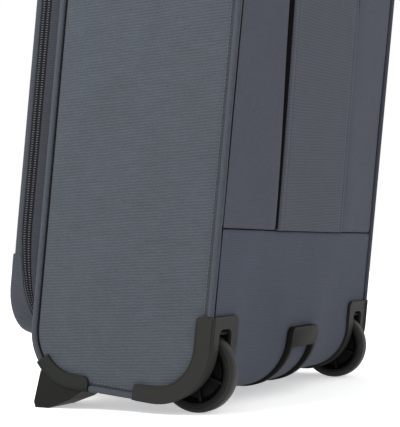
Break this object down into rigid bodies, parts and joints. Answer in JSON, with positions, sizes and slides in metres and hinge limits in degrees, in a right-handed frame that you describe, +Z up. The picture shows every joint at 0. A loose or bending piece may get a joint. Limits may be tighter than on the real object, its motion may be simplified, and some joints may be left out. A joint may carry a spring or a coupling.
{
  "type": "softside upright suitcase",
  "caption": "Softside upright case on two inline wheels and front skid feet, with a zipped lid, telescopic trolley handle, carry handles and moulded corner guards.",
  "frame": {"origin": "on the floor under the middle of the standing case's bounding box", "axes": "+Z up from the floor the case stands on, +X to the side on which the lid's zip runs down, +Y to the back, where the wheels and the trolley handle are; the lid faces -Y. The case itself leans back 5.74 degrees about X, as it stands"},
  "size_m": [0.396, 0.2598, 0.5602],
  "materials": {
    "shell_fabric": "coarse ribbed woven polyester, slate blue-grey, matt",
    "piping_fabric": "woven cover over a round cord, slightly lighter than the shell",
    "zip_tape": "black woven tape with a nylon coil",
    "board": "plain sheet",
    "lining": "plain thin lining",
    "webbing": "flat woven strap",
    "moulding": "fine grained satin moulding, charcoal",
    "well_plastic": "matt black moulding",
    "hub_plastic": "satin black moulding",
    "tyre_rubber": "dark grey polyurethane, satin",
    "steel": "zinc plated",
    "tube_metal": "satin anodised",
    "slider_metal": "dark plated zinc",
    "pull_plastic": "satin moulding",
    "grip_plastic": "fine grained moulding",
    "button_plastic": "semi-gloss moulding"
  },
  "bodies": {
    "case": {"side_panel_right": "shell_fabric", "side_panel_left": "shell_fabric", "back_strip_right": "shell_fabric", "back_strip_left": "shell_fabric", "back_panel_lower": "shell_fabric", "bottom_panel": "shell_fabric", "top_panel": "shell_fabric", "front_strip": "shell_fabric", "tube_cover": "shell_fabric", "piping_right": "piping_fabric", "piping_left": "piping_fabric", "zip_half_case": "zip_tape", "lid_hinge_strip": "shell_fabric", "back_board": "board", "back_lining": "lining", "frame_hoop_right": "board", "frame_hoop_left": "board", "packing_straps": "webbing", "strap_buckle": "moulding", "corner_guard_right": "moulding", "corner_guard_left": "moulding", "wheel_well_right": "well_plastic", "wheel_well_left": "well_plastic", "axle_right": "steel", "axle_left": "steel", "front_foot_right": "moulding", "front_foot_left": "moulding", "bottom_handle": "moulding", "case_screws": "steel", "carry_handle_plates": "moulding", "handle_bezel": "moulding", "outer_tube_right": "tube_metal", "outer_tube_left": "tube_metal", "tube_bracket": "moulding"},
    "lid": {"lid_panel": "shell_fabric", "lid_rim": "shell_fabric", "zip_half_lid": "zip_tape", "pocket_upper": "shell_fabric", "pocket_lower": "shell_fabric", "pocket_zips": "zip_tape"},
    "right_wheel": {"tyre_right": "tyre_rubber", "hub_right": "hub_plastic"},
    "left_wheel": {"tyre_left": "tyre_rubber", "hub_left": "hub_plastic"},
    "trolley_stage": {"middle_tube_right": "tube_metal", "middle_tube_left": "tube_metal"},
    "trolley_grip": {"inner_tube_right": "tube_metal", "inner_tube_left": "tube_metal", "grip": "grip_plastic"},
    "grip_button": {"release_button": "button_plastic"},
    "carry": {"carry_handle": "moulding"},
    "zip_slider_r": {"zip_slider_right": "slider_metal"},
    "zip_slider_l": {"zip_slider_left": "slider_metal"},
    "zip_pull_r": {"zip_pull_right": "pull_plastic"},
    "zip_pull_l": {"zip_pull_left": "pull_plastic"},
    "pocket_slider_u": {"pocket_slider_upper": "slider_metal"},
    "pocket_slider_d": {"pocket_slider_lower": "slider_metal"},
    "pocket_pull_u": {"pocket_pull_upper": "pull_plastic"},
    "pocket_pull_d": {"pocket_pull_lower": "pull_plastic"}
  },
  "joints": [
    {"name": "wheel_spin_right", "type": "hinge", "parent": "case", "child": "right_wheel", "pos_m": [0.1659, 0.04994, 0.03472], "axis": [1, 0, 0], "continuous": true},
    {"name": "wheel_spin_left", "type": "hinge", "parent": "case", "child": "left_wheel", "pos_m": [-0.1659, 0.04994, 0.03472], "axis": [1, 0, 0], "continuous": true},
    {"name": "lid_hinge", "type": "hinge", "parent": "case", "child": "lid", "pos_m": [-0.187, -0.09311, 0.30036], "axis": [0, -0.1, -0.995], "range_deg": [0, 130]},
    {"name": "stage_slide", "type": "slide", "parent": "case", "child": "trolley_stage", "axis": [0, 0.1, 0.995], "range_m": [0, 0.225]},
    {"name": "grip_slide", "type": "slide", "parent": "trolley_stage", "child": "trolley_grip", "axis": [0, 0.1, 0.995], "range_m": [0, 0.225]},
    {"name": "button_press", "type": "slide", "parent": "trolley_grip", "child": "grip_button", "axis": [0, -0.1, -0.995], "range_m": [0, 0.0025], "stiffness_N_per_m": 800},
    {"name": "carry_handle_lift", "type": "slide", "parent": "case", "child": "carry", "axis": [0, 0.1, 0.995], "range_m": [0, 0.01]},
    {"name": "zip_travel_right", "type": "slide", "parent": "case", "child": "zip_slider_r", "axis": [1, 0, 0], "range_m": [-0.02, 0.09]},
    {"name": "zip_travel_left", "type": "slide", "parent": "case", "child": "zip_slider_l", "axis": [-1, 0, 0], "range_m": [-0.02, 0.09]},
    {"name": "zip_pull_swing_right", "type": "hinge", "parent": "zip_slider_r", "child": "zip_pull_r", "pos_m": [0.03, -0.06853, 0.54493], "axis": [0, -0.995, 0.1], "range_deg": [0, 170]},
    {"name": "zip_pull_swing_left", "type": "hinge", "parent": "zip_slider_l", "child": "zip_pull_l", "pos_m": [-0.03, -0.06853, 0.54493], "axis": [0, 0.995, -0.1], "range_deg": [0, 170]},
    {"name": "pocket_zip_upper", "type": "slide", "parent": "lid", "child": "pocket_slider_u", "axis": [1, 0, 0], "range_m": [-0.24, 0]},
    {"name": "pocket_zip_lower", "type": "slide", "parent": "lid", "child": "pocket_slider_d", "axis": [1, 0, 0], "range_m": [-0.24, 0]},
    {"name": "pocket_pull_upper", "type": "hinge", "parent": "pocket_slider_u", "child": "pocket_pull_u", "pos_m": [0.125, -0.09296, 0.49482], "axis": [-1, 0, 0], "range_deg": [0, 160]},
    {"name": "pocket_pull_lower", "type": "hinge", "parent": "pocket_slider_d", "child": "pocket_pull_d", "pos_m": [0.125, -0.11156, 0.30975], "axis": [-1, 0, 0], "range_deg": [0, 160]}
  ]
}
